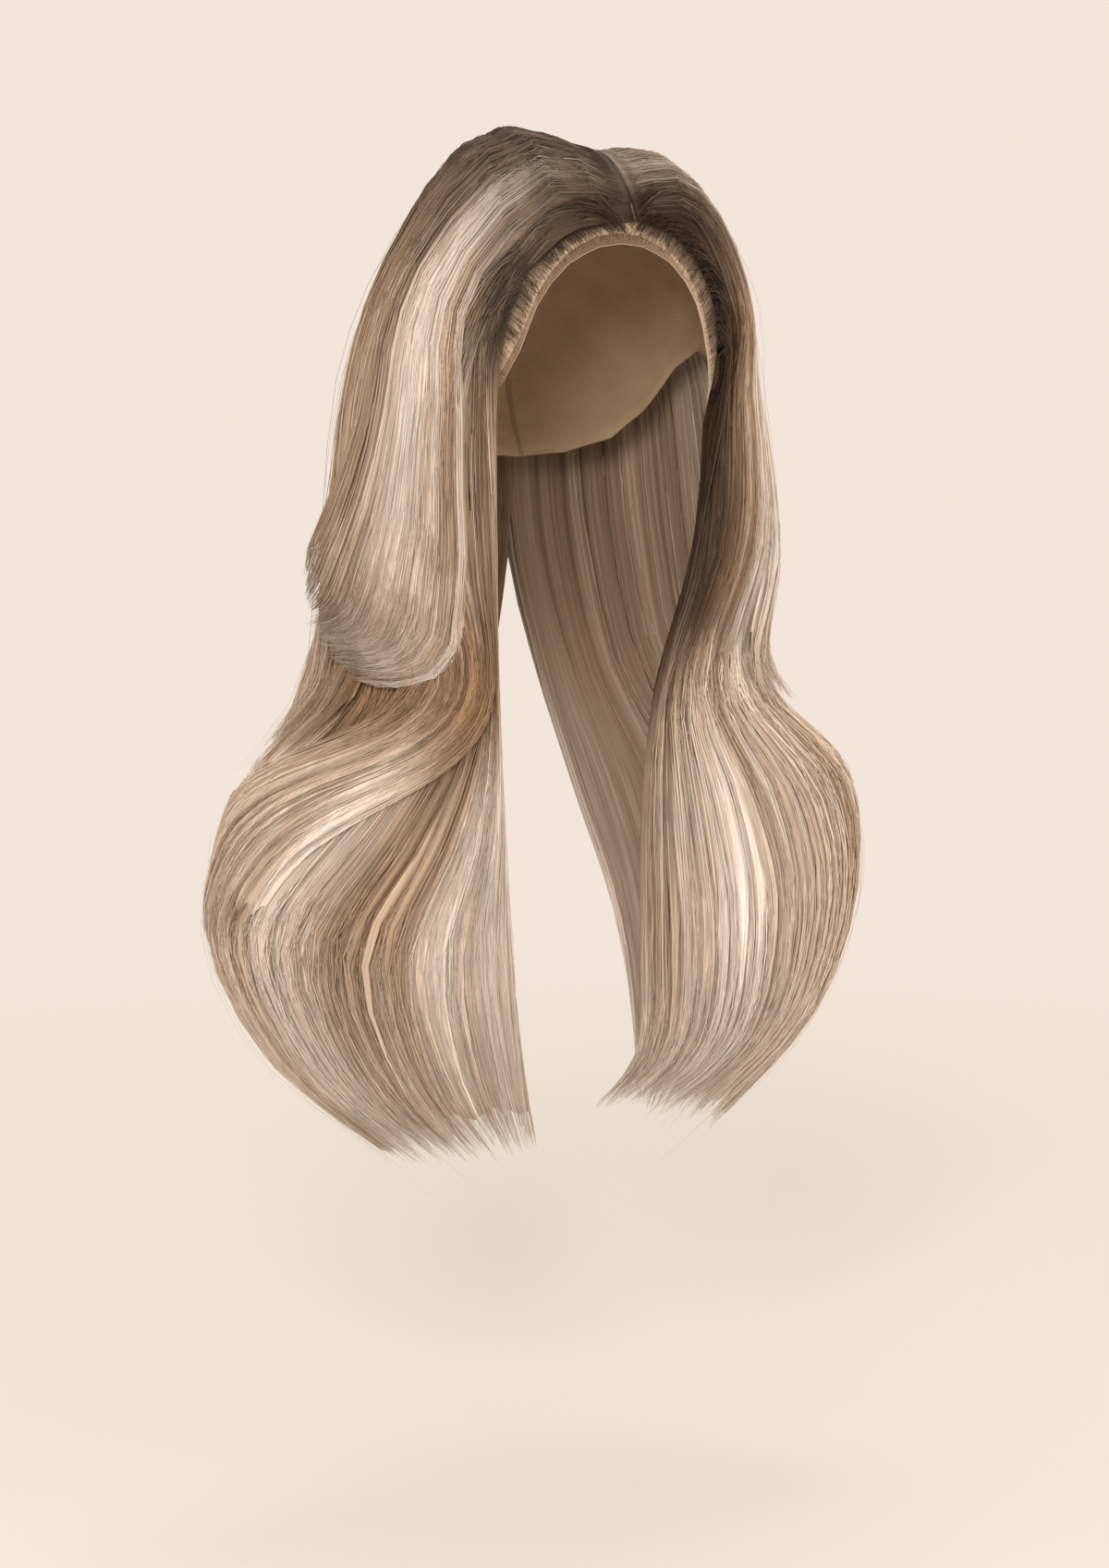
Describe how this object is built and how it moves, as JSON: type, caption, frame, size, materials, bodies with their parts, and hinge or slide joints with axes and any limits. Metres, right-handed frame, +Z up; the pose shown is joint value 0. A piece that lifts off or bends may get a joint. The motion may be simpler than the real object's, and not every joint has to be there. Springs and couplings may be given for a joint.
{
  "type": "lace front wig",
  "caption": "Long layered lace front wig with an off-centre part: a hollow stretch cap, a thin lace front panel and hair in overlapping layers, with shorter front locks flicked outward.",
  "frame": {"origin": "where the top of the wearer's head meets the inner face of the cap", "axes": "+Z up, +X towards the wearer's left, and the face looks along -Y"},
  "size_m": [0.3741, 0.2144, 0.5428],
  "materials": {
    "cap_knit": "matt stretch knit",
    "lace": "sheer fine net",
    "hair_long": "satin strands, ash beige with silver and warm sand streaks",
    "hair_highlight": "satin strands, silver blond over dark ash roots",
    "hair_layer": "satin strands, ash brown roots into ash blond"
  },
  "bodies": {
    "root": {"cap": "cap_knit", "lace_front": "lace", "long_front_right": "hair_long", "long_side_right": "hair_long", "long_back_right": "hair_long", "long_front_left": "hair_long", "long_side_left": "hair_long", "long_back_left": "hair_long", "front_lock_right": "hair_highlight", "second_lock_right": "hair_highlight", "side_layer_right": "hair_layer", "back_layer_right": "hair_layer", "front_lock_left": "hair_layer", "crown_layer_left": "hair_layer", "back_layer_left": "hair_layer"}
  },
  "joints": []
}
